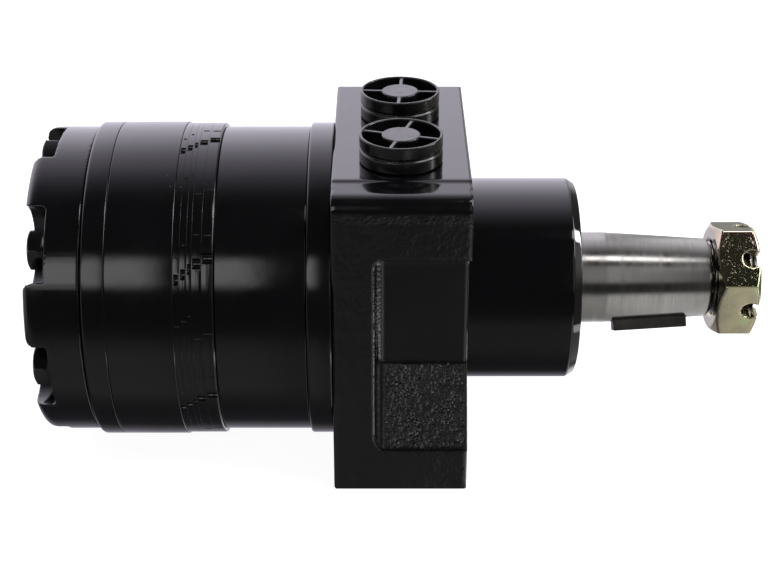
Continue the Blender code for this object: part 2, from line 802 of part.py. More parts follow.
def make_output_shaft():
    edge = 1 * MM
    taper_small = SHAFT_RADIUS - (TAPER_END - TAPER_START) * TAPER
    outline = [
        (0, SHAFT_END),
        (THREAD_RADIUS - edge, SHAFT_END),
        (THREAD_RADIUS, SHAFT_END - edge),
        (THREAD_RADIUS, TAPER_END),
        (taper_small - 0.3 * MM, TAPER_END),
        (taper_small, TAPER_END - 0.4 * MM),
        (SHAFT_RADIUS, TAPER_START),
        (SHAFT_RADIUS, JOURNAL_END + 3 * MM),
        (JOURNAL_RADIUS - 1.5 * MM, JOURNAL_END),
        (JOURNAL_RADIUS, JOURNAL_END - 1.5 * MM),
        (JOURNAL_RADIUS, JOURNAL_START),
        (SHAFT_FLANGE_RADIUS, JOURNAL_START),
        (SHAFT_FLANGE_RADIUS, SHAFT_REAR),
        (SOCKET_MOUTH_RADIUS, SHAFT_REAR),
        (SOCKET_MOUTH_RADIUS, SOCKET_MOUTH_END),
        (SPLINE_BORE, SOCKET_MOUTH_END),
        (SPLINE_BORE, SOCKET_END),
        (0, SOCKET_END),
    ]
    shaft = turned("output_shaft", outline, STEEL)
    grooves = spline_grooves(
        "shaft_spline",
        SOCKET_MOUTH_END - 2 * MM,
        SOCKET_END - 1 * MM,
        SPLINE_GROOVE_WIDTH,
        SPLINE_BORE - 2 * MM,
        SPLINE_GROOVE_RADIUS,
    )
    middle = KEY_START + KEY_LENGTH / 2
    surface = SHAFT_RADIUS - (middle - TAPER_START) * TAPER
    seat = spot(middle, surface + KEY_PROUD - KEY_SIZE / 2)
    slope = Matrix.Rotation(math.atan(TAPER), 4, "Y")
    frame = around(KEY_DEG) @ Matrix.Translation(seat) @ slope
    keyway_size = (KEY_SIZE + 2 * GAP, KEY_SIZE + 2 * GAP, KEY_LENGTH + 2 * GAP)
    cut(shaft, grooves, boxes("keyway", keyway_size, [frame]))
    boxes("shaft_key", (KEY_SIZE, KEY_SIZE, KEY_LENGTH), [frame], DARK_STEEL, parent=shaft)
    make_nut(shaft)


def make_nut(shaft):
    corner = NUT_ACROSS_FLATS / 2 / math.cos(math.radians(30))
    turns = [math.radians(NUT_CORNER_DEG + 60 * i) for i in range(6)]
    corners = [(-corner * math.sin(turn), corner * math.cos(turn)) for turn in turns]
    nut = prism("castle_nut", corners, NUT_START, NUT_END, ZINC, parent=shaft)
    face = NUT_ACROSS_FLATS / 2 - 0.4 * MM
    drop = (corner - face) * math.tan(math.radians(30))
    chamfer = turned(
        "nut_chamfer",
        [
            (0, NUT_END),
            (face, NUT_END),
            (corner, NUT_END - drop),
            (corner, NUT_START + drop),
            (face, NUT_START),
            (0, NUT_START),
        ],
        steps=36,
    )
    bore_ends = (spot(NUT_START - CLEAR), spot(NUT_END + CLEAR))
    bore = drill("nut_bore", [(*bore_ends, THREAD_RADIUS + GAP)], SEAL_ROUND)
    slot_length = NUT_END - NUT_SLOT_START + CLEAR
    slot_size = (10 * MM, NUT_SLOT_WIDTH, slot_length)
    slot_middle = spot(NUT_SLOT_START + slot_length / 2, 17 * MM)
    slots = boxes(
        "nut_slots",
        slot_size,
        [around(NUT_CORNER_DEG + 30 + 60 * i) @ Matrix.Translation(slot_middle) for i in range(6)],
    )
    combine(nut, "INTERSECT", chamfer)
    cut(nut, bore, slots)


def needle_cage(name, start, end):
    """A cage with its needles, as one ring that swells at each needle."""
    needle = ((0, CAGE_RADIUS), (0.34, CAGE_RADIUS), (0.5, NEEDLE_OUTER), (0.84, NEEDLE_OUTER))
    outline = []
    for i in range(NEEDLE_COUNT):
        for part, radius in needle:
            turn = 2 * math.pi * (i + part) / NEEDLE_COUNT
            outline.append((radius * math.sin(turn), radius * math.cos(turn)))
    cage = prism(name, outline, start, end, BEARING_STEEL)
    hole_ends = (spot(start - CLEAR), spot(end + CLEAR))
    cut(cage, drill(f"{name}_bore", [(*hole_ends, JOURNAL_RADIUS + GAP)], 2 * NEEDLE_COUNT))


def make_bearings():
    for name, start in RACE_STARTS.items():
        end = start + RACE_LENGTH
        race = ring(RACE_BORE_RADIUS - GAP, RACE_INNER, start, end)
        turned(f"{name}_bearing_race", race, BEARING_STEEL, steps=SEAL_ROUND)
        needle_cage(f"{name}_bearing_needles", start + 1 * MM, end - 1 * MM)
    thrust_start = JOURNAL_START + GAP
    thrust_end = thrust_start + THRUST_THICKNESS
    thrust = ring(THRUST_OUTER, THRUST_INNER, thrust_start, thrust_end)
    turned("thrust_bearing", thrust, BEARING_STEEL, steps=SEAL_ROUND)
    washer = ring(THRUST_WASHER_OUTER, THRUST_INNER, thrust_end + GAP, CAVITY_END - GAP)
    turned("thrust_washer", washer, BEARING_STEEL, steps=SEAL_ROUND)


def make_shaft_seals():
    outer = SEAL_BORE_RADIUS - GAP
    lip = SHAFT_RADIUS + GAP
    washer_end = WASHER_START + WASHER_THICKNESS
    turned("backup_washer", ring(outer, lip + GAP, WASHER_START, washer_end), STEEL, steps=SEAL_ROUND)
    start, end = washer_end + GAP, SEAL_BORE_END - GAP
    # A lip seal: a collar on the bore, a web at the front, and a lip that reaches back to the shaft.
    shaft_seal = [
        (outer, end),
        (outer, start),
        (22 * MM, start),
        (21 * MM, end - 2 * MM),
        (18.5 * MM, end - 2.4 * MM),
        (17.5 * MM, start + 1 * MM),
        (lip, start + 1.6 * MM),
        (16.9 * MM, end),
    ]
    turned("shaft_seal", shaft_seal, RUBBER, steps=SEAL_ROUND)
    outer = DUST_BORE_RADIUS - GAP
    start, end = NECK_END + GAP, NOSE_END - GAP
    dust_seal = [
        (outer, end),
        (outer, start),
        (SEAL_COLLAR_RADIUS, start),
        (SEAL_COLLAR_RADIUS, end - 2 * MM),
        (lip, end),
    ]
    turned("dust_seal", dust_seal, RUBBER, steps=SEAL_ROUND)


def make_port_plugs():
    """A moulded plug: a two-tier head with a hollow, spoked top, on a hollow shank."""
    seat = PORT_FACE_HEIGHT + GAP
    top = PORT_FACE_HEIGHT + PLUG_HEIGHT
    groove_low = seat + PLUG_GROOVE_LOW
    groove_high = groove_low + PLUG_GROOVE_WIDTH
    groove_radius = PLUG_RADIUS - PLUG_GROOVE_DEPTH
    well = top - PLUG_WELL_DEPTH
    shank_low = seat - PLUG_SHANK_DEPTH
    edge = 0.5 * MM
    outline = [
        (0, top - PLUG_HUB_DROP),
        (PLUG_HUB_RADIUS, top - PLUG_HUB_DROP),
        (PLUG_HUB_RADIUS, well),
        (PLUG_RIM_INNER - edge, well),
        (PLUG_RIM_INNER, top),
        (PLUG_RADIUS - edge, top),
        (PLUG_RADIUS, top - edge),
        (PLUG_RADIUS, groove_high),
        (groove_radius, groove_high),
        (groove_radius, groove_low),
        (PLUG_RADIUS, groove_low),
        (PLUG_RADIUS, seat),
        (PLUG_SHANK_RADIUS, seat),
        (PLUG_SHANK_RADIUS, shank_low + 1 * MM),
        (PLUG_SHANK_RADIUS - 1 * MM, shank_low),
        (PLUG_SHANK_INNER, shank_low),
        (PLUG_SHANK_INNER, well - PLUG_FLOOR),
        (0, well - PLUG_FLOOR),
    ]
    upright = {"parent": PLUG_FRAME}
    plug = turned("port_plug", outline, PLASTIC, steps=SEAL_ROUND, **upright)
    spoke_top, spoke_low = top - PLUG_SPOKE_DROP, well - 1 * MM
    reach = 2 * PLUG_RIM_INNER - 1 * MM
    middle = Matrix.Translation((0, 0, (spoke_top + spoke_low) / 2))
    spoke_size = (reach, PLUG_SPOKE_WIDTH, spoke_top - spoke_low)
    for i in range(2):
        turn = Matrix.Rotation(math.radians(90 * i), 4, "Z")
        join(plug, boxes(f"plug_spokes_{i + 1}", spoke_size, [turn @ middle], **upright))
    mesh = settled_mesh(plug)
    for name, side in (("front", -1), ("rear", 1)):
        turn = (0, 0, math.radians(PLUG_TURNS[name]))
        place = (PORT_ALONG, side * PORT_BACK, 0)
        add(f"port_plug_{name}", mesh, PLASTIC, parent=PLUG_FRAME, at=place, turn=turn)


make_housing()
make_end_cover()
make_rings()
make_manifold_plates()
make_body_seals()
make_bolts()
make_rollers()
make_rotor()
make_drive_link()
make_commutator()
make_output_shaft()
make_bearings()
make_shaft_seals()
make_port_plugs()
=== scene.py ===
"""Looks of the hydraulic motor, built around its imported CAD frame."""

import math

import bmesh
import bpy
from mathutils import Matrix, Vector, noise


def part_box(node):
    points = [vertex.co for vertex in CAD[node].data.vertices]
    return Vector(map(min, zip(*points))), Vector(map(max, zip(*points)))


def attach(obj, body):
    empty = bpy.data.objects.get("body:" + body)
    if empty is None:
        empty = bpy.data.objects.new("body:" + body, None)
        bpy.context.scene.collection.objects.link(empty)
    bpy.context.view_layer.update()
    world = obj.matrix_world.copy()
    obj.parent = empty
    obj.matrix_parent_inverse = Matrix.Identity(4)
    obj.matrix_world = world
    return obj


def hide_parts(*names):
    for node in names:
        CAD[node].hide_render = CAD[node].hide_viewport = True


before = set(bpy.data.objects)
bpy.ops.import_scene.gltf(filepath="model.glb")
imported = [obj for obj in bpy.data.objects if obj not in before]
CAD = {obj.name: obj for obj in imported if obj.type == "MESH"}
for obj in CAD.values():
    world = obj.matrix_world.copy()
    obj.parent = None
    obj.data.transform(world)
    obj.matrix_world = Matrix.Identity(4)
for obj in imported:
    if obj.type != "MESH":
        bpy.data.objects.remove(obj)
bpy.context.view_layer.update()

MM = 0.001
GAP = 0.3 * MM
# The painted rings stand closer together than the CAD rings do, by most of the gap.
SHUT = 0.27 * MM
FINE = 160

# The motor's own frame: its origin is on the shaft axis at the rear face of the housing flange.
HOUSING_LOW, HOUSING_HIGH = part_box("housing")
SHAFT_LOW, SHAFT_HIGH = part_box("output_shaft")
AXIS_Z = (SHAFT_LOW.z + SHAFT_HIGH.z) / 2
ORIGIN = Vector((HOUSING_LOW.x, 0, AXIS_Z))

BOLT_COUNT = 7
BOLT_STEP = 360 / BOLT_COUNT
BOLT_CIRCLE = 44.5 * MM
BOLT_HOLE = 4.3 * MM
BLOCK_LENGTH = 45.1 * MM
FLANGE = 14 * MM
MACHINED_TOP_FRONT = -36.65 * MM
POCKET_FALL = 1.8
RACE_BORE = 26.3 * MM
PORT_ALONG = 22.55 * MM
PORT_BACK = 20.2 * MM
SHAFT_RADIUS = 15.875 * MM
TAPER_START = 93.9 * MM
TAPER_SLOPE = 1 / 16
KEY_SIDE = 7.94 * MM
KEY_LENGTH = 25.4 * MM
KEY_TURN = 153
NUT_TURN = 12.9
# How far a cutter runs past the face it cuts
PAST = 5 * MM
# A turned outline's points nearer the axis than this lie on it
ON_AXIS = 0.0001 * MM


# ---------------------------------------------------------------- camera, light and floor

# Brightness of the studio by degrees across the shaft
BRIGHTEST = 2.5
LEFT_WALL = 0.6
RIGHT_WALL = 0.2
WALL_TINT = (1.0, 0.95, 1.1)
TINTED_FROM = 185
WALL_LEVELS = (
    (0, 0.06), (12, 0.10), (28, 0.18), (45, 0.21), (58, 0.21), (66, 0.14), (74, 0.07), (88, 0.05),
    (172, 0.05), (180, 0.12), (187, 0.28), (195, 0.55), (203, 0.95), (211, 1.25), (221, 1.65), (232, 2.0),
    (244, 2.1), (254, 1.85), (268, 1.5), (285, 1.1), (310, 0.5), (340, 0.06), (360, 0.06),
)
# Each panel: its level, then steps from dark to bright, each by degrees across the shaft ("turn"),
# by the direction's part along the shaft ("along") or by its height ("height")
PANELS = (
    (2.3, ("turn", 106, 114), ("turn", 134, 126), ("along", -0.02, -0.155)),
    (0.08, ("turn", 10, 30), ("turn", 80, 66), ("along", 0.02, -0.10)),
    (6.0, ("turn", 140, 150), ("turn", 204, 196), ("along", 0.45, 0.62), ("along", 0.82, 0.78)),
    (24.0, ("turn", 186, 190), ("turn", 206, 202), ("along", 0.80, 0.84)),
    (0.9, ("turn", 84, 150), ("turn", 190, 180), ("along", 0.80, 0.88)),
    (7.0, ("turn", 160, 163), ("turn", 173, 170), ("along", 0.119, 0.126), ("along", 0.36, 0.33)),
    (0.6, ("turn", 96, 108), ("turn", 150, 140), ("along", 0.119, 0.126), ("along", 0.40, 0.34)),
    (1.0, ("height", -0.20, -0.45), ("along", 0.12, 0.28), ("along", 0.46, 0.34)),
    (0.9, ("height", -0.20, -0.45), ("along", 0.119, 0.126), ("along", 0.165, 0.145)),
    (3.6, ("height", -0.480, -0.500), ("height", -0.60, -0.56), ("along", 0.42, 0.62)),
    (0.35, ("height", -0.52, -0.62), ("along", 0.45, 0.55)),
)

# What dims the wall: its colour and the same kind of steps
SHADES = (
    ((0.68, 0.72, 0.64), ("along", 0.117, 0.125)),
    ((0.40, 0.40, 0.38), ("along", 0.160, 0.180), ("along", 0.235, 0.220), ("turn", 210, 230)),
)


def make_camera():
    data = bpy.data.cameras.new("camera")
    data.sensor_width = 36
    data.lens = 75.72
    data.clip_start = 0.01
    data.clip_end = 100
    camera = bpy.data.objects.new("camera", data)
    bpy.context.scene.collection.objects.link(camera)
    camera.location = ORIGIN + Vector((17.0, -508.2, 258.2)) * MM
    camera.rotation_euler = (math.radians(90 - 27.178), 0, 0)
    bpy.context.scene.camera = camera


def math_node(nodes, links, operation, first, second=None):
    node = nodes.new("ShaderNodeMath")
    node.operation = operation
    for socket, value in zip(node.inputs, (first, second)):
        if value is None:
            continue
        if isinstance(value, (int, float)):
            socket.default_value = value
        else:
            links.new(value, socket)
    return node.outputs[0]


def stepped(nodes, links, value, first, last):
    """A smooth step from 0 at the first number to 1 at the last, which may be the smaller one."""
    node = nodes.new("ShaderNodeMapRange")
    node.interpolation_type = "SMOOTHSTEP"
    links.new(value, node.inputs["Value"])
    node.inputs["From Min"].default_value = min(first, last)
    node.inputs["From Max"].default_value = max(first, last)
    node.inputs["To Min"].default_value = float(first > last)
    node.inputs["To Max"].default_value = float(first < last)
    return node.outputs[0]


def add_mix(nodes, links, blend, factor, first, second):
    """A colour mix. The factor and the second colour may be sockets or numbers."""
    node = nodes.new("ShaderNodeMix")
    node.data_type = "RGBA"
    node.blend_type = blend
    links.new(first, node.inputs[6])
    for index, value in ((0, factor), (7, second)):
        if isinstance(value, (int, float, tuple)):
            node.inputs[index].default_value = value
        else:
            links.new(value, node.inputs[index])
    return node.outputs[2]


def stepped_product(nodes, links, values, steps, start):
    """The start value times every step."""
    product = start
    for value, dark, bright in steps:
        step = stepped(nodes, links, values[value], dark, bright)
        product = math_node(nodes, links, "MULTIPLY", step, product)
    return product


def directions(nodes, links):
    """A direction's turn across the shaft, as a part of a whole and in degrees, its part along the shaft and
    its height. The turn starts straight down and passes the front horizon at 90 and the zenith at 180."""
    where = nodes.new("ShaderNodeTexCoord")
    split = nodes.new("ShaderNodeSeparateXYZ")
    links.new(where.outputs["Generated"], split.inputs[0])
    front = math_node(nodes, links, "MULTIPLY", split.outputs["Y"], -1)
    angle = math_node(nodes, links, "ARCTAN2", split.outputs["Z"], front)
    turn = math_node(nodes, links, "DIVIDE", angle, 2 * math.pi)
    whole = math_node(nodes, links, "FRACT", math_node(nodes, links, "ADD", turn, 1.25))
    degrees = math_node(nodes, links, "MULTIPLY", whole, 360)
    return {"whole": whole, "turn": degrees, "along": split.outputs["X"], "height": split.outputs["Z"]}


def wall_ramp(nodes, links, whole):
    ramp = nodes.new("ShaderNodeValToRGB")
    links.new(whole, ramp.inputs[0])
    elements = ramp.color_ramp.elements
    elements.remove(elements[1])
    for at, level in WALL_LEVELS:
        element = elements.new(at / 360) if at else elements[0]
        tint = WALL_TINT if at > TINTED_FROM else (1, 1, 1)
        element.color = (*[level / BRIGHTEST * part for part in tint], 1)
    return ramp.outputs[0]


def wall_grey(level):
    return (*[level / BRIGHTEST] * 3, 1)


def make_world():
    """A studio by direction: a wall that is bright behind, shades and panels on it, and a plainer wall at
    each end of the shaft. The camera itself sees plain white."""
    world = bpy.data.worlds.new("studio")
    bpy.context.scene.world = world
    world.use_nodes = True
    nodes, links = world.node_tree.nodes, world.node_tree.links
    values = directions(nodes, links)
    total = wall_ramp(nodes, links, values["whole"])
    for colour, *steps in SHADES:
        shade = stepped_product(nodes, links, values, steps, 1.0)
        total = add_mix(nodes, links, "MULTIPLY", shade, total, (*colour, 1))
    right = stepped(nodes, links, values["along"], 0.35, 0.55)
    total = add_mix(nodes, links, "MIX", right, total, wall_grey(RIGHT_WALL))
    for level, *steps in PANELS:
        panel = stepped_product(nodes, links, values, steps, level / BRIGHTEST)
        total = add_mix(nodes, links, "ADD", 1.0, total, panel)
    left = stepped(nodes, links, values["along"], -0.9, -0.99)
    total = add_mix(nodes, links, "MIX", left, total, wall_grey(LEFT_WALL))
    background = nodes["Background"]
    links.new(total, background.inputs["Color"])
    background.inputs["Strength"].default_value = BRIGHTEST
    plain = nodes.new("ShaderNodeBackground")
    plain.inputs["Color"].default_value = (1, 1, 1, 1)
    seen = nodes.new("ShaderNodeLightPath")
    pick = nodes.new("ShaderNodeMixShader")
    links.new(seen.outputs["Is Camera Ray"], pick.inputs[0])
    links.new(background.outputs[0], pick.inputs[1])
    links.new(plain.outputs[0], pick.inputs[2])
    links.new(pick.outputs[0], nodes["World Output"].inputs[0])


def make_light():
    data = bpy.data.lights.new("overhead_softbox", "AREA")
    data.shape = "RECTANGLE"
    data.size = 0.9
    data.size_y = 0.35
    data.energy = 4
    light = bpy.data.objects.new("overhead_softbox", data)
    bpy.context.scene.collection.objects.link(light)
    light.location = ORIGIN + Vector((0.1, 0.15, 0.8))
    light.rotation_euler = (math.radians(-10), 0, 0)
    light.visible_glossy = False


def make_floor():
    shape = bmesh.new()
    bmesh.ops.create_circle(shape, cap_ends=True, segments=96, radius=6)
    mesh = bpy.data.meshes.new("floor")
    shape.to_mesh(mesh)
    shape.free()
    floor = bpy.data.objects.new("floor", mesh)
    bpy.context.scene.collection.objects.link(floor)
    floor.location = (0, 0, HOUSING_LOW.z - 0.05 * MM)
    finish = bpy.data.materials.new("floor_pale")
    finish.use_nodes = True
    shader = finish.node_tree.nodes["Principled BSDF"]
    shader.inputs["Base Color"].default_value = (0.3, 0.3, 0.3, 1)
    shader.inputs["Roughness"].default_value = 0.9
    shader.inputs["Specular IOR Level"].default_value = 0
    shader.inputs["Emission Color"].default_value = (1, 1, 1, 1)
    shader.inputs["Emission Strength"].default_value = 0.93
    mesh.materials.append(finish)
    floor.visible_glossy = False


# ---------------------------------------------------------------- materials

class Finish:
    """A Principled material with small helpers for its procedural detail."""

    def __init__(self, name, colour, roughness, metallic=0.0):
        self.material = bpy.data.materials.new(name)
        self.material.use_nodes = True
        self.nodes = self.material.node_tree.nodes
        self.links = self.material.node_tree.links
        self.shader = self.nodes["Principled BSDF"]
        self.set("Base Color", (*colour, 1))
        self.set("Roughness", roughness)
        self.set("Metallic", metallic)
        self.where = self.nodes.new("ShaderNodeTexCoord").outputs["Object"]
        self.height = None

    def set(self, socket, value):
        self.shader.inputs[socket].default_value = value

    def scaled(self, scale):
        mapping = self.nodes.new("ShaderNodeMapping")
        mapping.inputs["Scale"].default_value = scale
        self.links.new(self.where, mapping.inputs["Vector"])
        return mapping.outputs[0]

    def noise(self, scale, detail=3.0, roughness=0.5, stretch=None):
        node = self.nodes.new("ShaderNodeTexNoise")
        node.inputs["Scale"].default_value = scale
        node.inputs["Detail"].default_value = detail
        node.inputs["Roughness"].default_value = roughness
        self.links.new(self.scaled(stretch) if stretch else self.where, node.inputs["Vector"])
        return node.outputs[0]

    def cells(self, scale):
        node = self.nodes.new("ShaderNodeTexVoronoi")
        node.inputs["Scale"].default_value = scale
        self.links.new(self.where, node.inputs["Vector"])
        return node.outputs["Distance"]

    def ranged(self, value, low, high, out_low, out_high, smooth=False):
        node = self.nodes.new("ShaderNodeMapRange")
        if smooth:
            node.interpolation_type = "SMOOTHSTEP"
        self.links.new(value, node.inputs["Value"])
        node.inputs["From Min"].default_value = low
        node.inputs["From Max"].default_value = high
        node.inputs["To Min"].default_value = out_low
        node.inputs["To Max"].default_value = out_high
        return node.outputs[0]

    def math(self, operation, first, second=None):
        return math_node(self.nodes, self.links, operation, first, second)

    def colours(self, factor, first, second):
        node = self.nodes.new("ShaderNodeMix")
        node.data_type = "RGBA"
        self.links.new(factor, node.inputs["Factor"])
        for index, colour in ((6, first), (7, second)):
            if isinstance(colour, tuple):
                node.inputs[index].default_value = (*colour, 1)
            else:
                self.links.new(colour, node.inputs[index])
        return node.outputs[2]

    def drive(self, socket, output):
        self.links.new(output, self.shader.inputs[socket])

    def bump(self, height, distance, strength=1.0):
        node = self.nodes.new("ShaderNodeBump")
        node.inputs["Strength"].default_value = strength
        node.inputs["Distance"].default_value = distance
        self.links.new(height, node.inputs["Height"])
        if self.height:
            self.links.new(self.height, node.inputs["Normal"])
        self.height = node.outputs[0]
        self.drive("Normal", self.height)


def gloss_paint(name, peel, relief=0.0, ribs=0.0, pits=0.0, haze=1.0):
    """Black enamel. Peel is how strong its ripples are, and haze how dull it is. Below it lie cast
    roughness (relief), grooves round the shaft (ribs) or scattered pits, each by its depth."""
    paint = Finish(name, (0.0015, 0.0015, 0.002), 0.1)
    tint = paint.colours(paint.noise(35, 4), (0.0010, 0.0010, 0.0014), (0.0024, 0.0024, 0.0030))
    paint.drive("Base Color", tint)
    paint.drive("Roughness", paint.ranged(paint.noise(90, 5), 0.3, 0.7, 0.07 * haze, 0.16 * haze))
    paint.bump(paint.noise(55, 2), 0.05 * MM, peel)
    paint.bump(paint.noise(420, 3), 0.02 * MM, peel)
    specks = paint.ranged(paint.cells(230), 0.0, 0.10, 1.0, 0.0, smooth=True)
    sparse = paint.ranged(paint.noise(60, 2), 0.62, 0.68, 0.0, 1.0, smooth=True)
    paint.bump(paint.math("MULTIPLY", specks, sparse), 0.12 * MM, 0.7)
    if relief:
        paint.bump(paint.noise(1100, 5, 0.6), relief)
        paint.bump(paint.cells(750), relief * 0.8)
    if pits:
        scattered = paint.ranged(paint.noise(330, 3), 0.50, 0.60, 0.0, 1.0, smooth=True)
        paint.bump(paint.math("MULTIPLY", paint.cells(900), scattered), pits)
    if ribs:
        paint.bump(paint.noise(520, 2, 0.5, (1, 0.05, 0.05)), ribs)
    return paint.material


def brushed_steel(name, colour, roughness):
    """Turned steel: fine grooves round the shaft axis, so the noise is squeezed along X only."""
    steel = Finish(name, colour, roughness, 1.0)
    stretch = (1, 0.03, 0.03)
    lines = steel.noise(2600, 4, 0.6, stretch)
    broad = steel.noise(300, 3, 0.5, stretch)
    darker = tuple(part * 0.72 for part in colour)
    stained = tuple(part * 0.8 for part in colour)
    stain = steel.ranged(steel.noise(70, 5, 0.6), 0.45, 0.75, 0.0, 1.0, smooth=True)
    tint = steel.colours(steel.ranged(lines, 0.3, 0.7, 0.0, 0.6), colour, darker)
    steel.drive("Base Color", steel.colours(stain, tint, stained))
    steel.drive("Roughness", steel.ranged(broad, 0.3, 0.7, roughness * 0.8, roughness * 1.35))
    steel.bump(lines, 0.012 * MM, 0.6)
    steel.bump(broad, 0.02 * MM, 0.25)
    steel.set("Anisotropic", 0.4)
    return steel.material


def dark_steel():
    steel = Finish("dark_steel", (0.035, 0.033, 0.032), 0.42, 0.6)
    tint = steel.colours(steel.noise(260, 5), (0.022, 0.021, 0.02), (0.06, 0.056, 0.052))
    steel.drive("Base Color", tint)
    steel.drive("Roughness", steel.ranged(steel.noise(500, 4), 0.3, 0.7, 0.32, 0.55))
    steel.bump(steel.noise(900, 5), 0.03 * MM, 0.6)
    return steel.material


def yellow_zinc():
    """Passivated zinc: its fine matt grains scatter light, and the bright metal between them reflects."""
    zinc = Finish("yellow_zinc", (0.46, 0.42, 0.28), 0.2, 1.0)
    patches = zinc.ranged(zinc.noise(160, 4), 0.35, 0.65, 0, 1, smooth=True)
    gold = zinc.colours(patches, (0.42, 0.38, 0.25), (0.34, 0.31, 0.22))
    green = zinc.ranged(zinc.noise(70, 2), 0.56, 0.68, 0, 1, smooth=True)
    pink = zinc.ranged(zinc.noise(95, 2), 0.60, 0.70, 0, 1, smooth=True)
    tinted = zinc.colours(pink, zinc.colours(green, gold, (0.38, 0.42, 0.24)), (0.46, 0.36, 0.29))
    grains = zinc.ranged(zinc.noise(1500, 4, 0.6), 0.54, 0.72, 0, 1, smooth=True)
    spread = zinc.ranged(zinc.noise(260, 3), 0.35, 0.60, 0.15, 1, smooth=True)
    matt = zinc.math("MULTIPLY", grains, spread)
    zinc.drive("Base Color", zinc.colours(zinc.math("MULTIPLY", matt, 0.25), tinted, (0.30, 0.28, 0.20)))
    zinc.drive("Roughness", zinc.ranged(matt, 0, 1, 0.05, 0.34))
    zinc.bump(zinc.noise(420, 3), 0.006 * MM, 0.5)
    zinc.bump(zinc.noise(1500, 3, 0.6), 0.004 * MM, 0.6)
    return zinc.material


def moulded_plastic():
    plastic = Finish("black_plastic", (0.002, 0.002, 0.002), 0.25)
    plastic.drive("Base Color", plastic.colours(plastic.noise(150, 4), (0.0014,) * 3, (0.0034,) * 3))
    plastic.drive("Roughness", plastic.ranged(plastic.noise(400, 4), 0.3, 0.7, 0.18, 0.32))
    plastic.bump(plastic.noise(1100, 4), 0.02 * MM, 0.5)
    plastic.bump(plastic.noise(160, 2), 0.05 * MM, 0.3)
    return plastic.material


def seal_rubber():
    rubber = Finish("seal_rubber", (0.02, 0.02, 0.02), 0.7)
    rubber.drive("Base Color", rubber.colours(rubber.noise(300, 4), (0.014,) * 3, (0.03,) * 3))
    rubber.bump(rubber.noise(1300, 4), 0.02 * MM, 0.6)
    rubber.drive("Roughness", rubber.ranged(rubber.noise(500, 3), 0.3, 0.7, 0.6, 0.8))
    return rubber.material


# Every finish by its short name
FINISHES = {
    "paint": gloss_paint("black_paint", 0.5),
    "nose": gloss_paint("black_paint_nose", 0.4, haze=0.35),
    "cast": gloss_paint("black_paint_cast", 0.6, 0.04 * MM),
    "rough": gloss_paint("black_paint_rough", 0.6, 0.07 * MM, pits=0.20 * MM),
    "ledge": gloss_paint("black_paint_ledge", 0.6, 0.12 * MM),
    "plates": gloss_paint("black_paint_plates", 0.6, ribs=0.10 * MM),
    "steel": brushed_steel("machined_steel", (0.33, 0.32, 0.31), 0.2),
    "bearing": brushed_steel("bearing_steel", (0.66, 0.66, 0.68), 0.16),
    "dark": dark_steel(),
    "zinc": yellow_zinc(),
    "plastic": moulded_plastic(),
    "rubber": seal_rubber(),
}


# ---------------------------------------------------------------- mesh tools

def spot(along, radius=0.0, deg=0.0):
    """A point at an angle from straight up, turning towards the front of the motor."""
    turn = math.radians(deg)
    return ORIGIN + Vector((along, -radius * math.sin(turn), radius * math.cos(turn)))


def point(along, back, up):
    return ORIGIN + Vector((along, back, up))


def around(deg):
    """The turn about the shaft axis that carries straight up to this angle, as in spot."""
    turn = Matrix.Rotation(math.radians(deg), 4, "X")
    return Matrix.Translation(ORIGIN) @ turn @ Matrix.Translation(-ORIGIN)


def piece(name, mesh, finish=None):
    thing = bpy.data.objects.new(name, mesh)
    bpy.context.scene.collection.objects.link(thing)
    if finish:
        mesh.materials.append(FINISHES[finish])
    return thing


def to_mesh(shape, name):
    bmesh.ops.recalc_face_normals(shape, faces=shape.faces)
    mesh = bpy.data.meshes.new(name)
    shape.to_mesh(mesh)
    shape.free()
    return mesh


def rounded(corners, steps=5):
    """A closed outline from (along, radius, fillet) corners, with an arc at each fillet."""
    points = []
    count = len(corners)
    for i, (along, radius, fillet) in enumerate(corners):
        here = Vector((along, radius))
        if not fillet:
            points.append(here)
            continue
        before = Vector(corners[i - 1][:2]) - here
        after = Vector(corners[(i + 1) % count][:2]) - here
        reach = min(fillet, before.length * 0.49, after.length * 0.49)
        first, last = here + before.normalized() * reach, here + after.normalized() * reach
        for k in range(steps + 1):
            t = k / steps
            points.append((1 - t) ** 2 * first + 2 * t * (1 - t) * here + t * t * last)
    return points


def lathe(name, corners, finish=None, segments=FINE, centre=(0.0, 0.0), steps=5):
    """A piece turned about the shaft axis, or one beside it. Corners are (along, radius, fillet)."""
    shape = bmesh.new()
    rows = []
    for along, radius in rounded(corners, steps):
        if radius < ON_AXIS:
            rows.append([shape.verts.new(point(along, *centre))] * segments)
            continue
        row = []
        for k in range(segments):
            turn = 2 * math.pi * k / segments
            back, up = centre[0] + radius * math.sin(turn), centre[1] + radius * math.cos(turn)
            row.append(shape.verts.new(point(along, back, up)))
        rows.append(row)
    for i, row in enumerate(rows):
        following = rows[(i + 1) % len(rows)]
        for k in range(segments):
            beside = (k + 1) % segments
            face = list(dict.fromkeys([row[k], row[beside], following[beside], following[k]]))
            if len(face) > 2:
                shape.faces.new(face)
    return piece(name, to_mesh(shape, name), finish)


def rods(name, holes, sides=32):
    """Round rods, each from one point to another with a radius."""
    shape = bmesh.new()
    for first, last, radius in holes:
        aim = (last - first).to_track_quat("Z", "Y").to_matrix().to_4x4()
        frame_here = Matrix.Translation((first + last) / 2) @ aim
        bmesh.ops.create_cone(
            shape,
            cap_ends=True,
            segments=sides,
            radius1=radius,
            radius2=radius,
            depth=(last - first).length,
            matrix=frame_here,
        )
    return piece(name, to_mesh(shape, name))


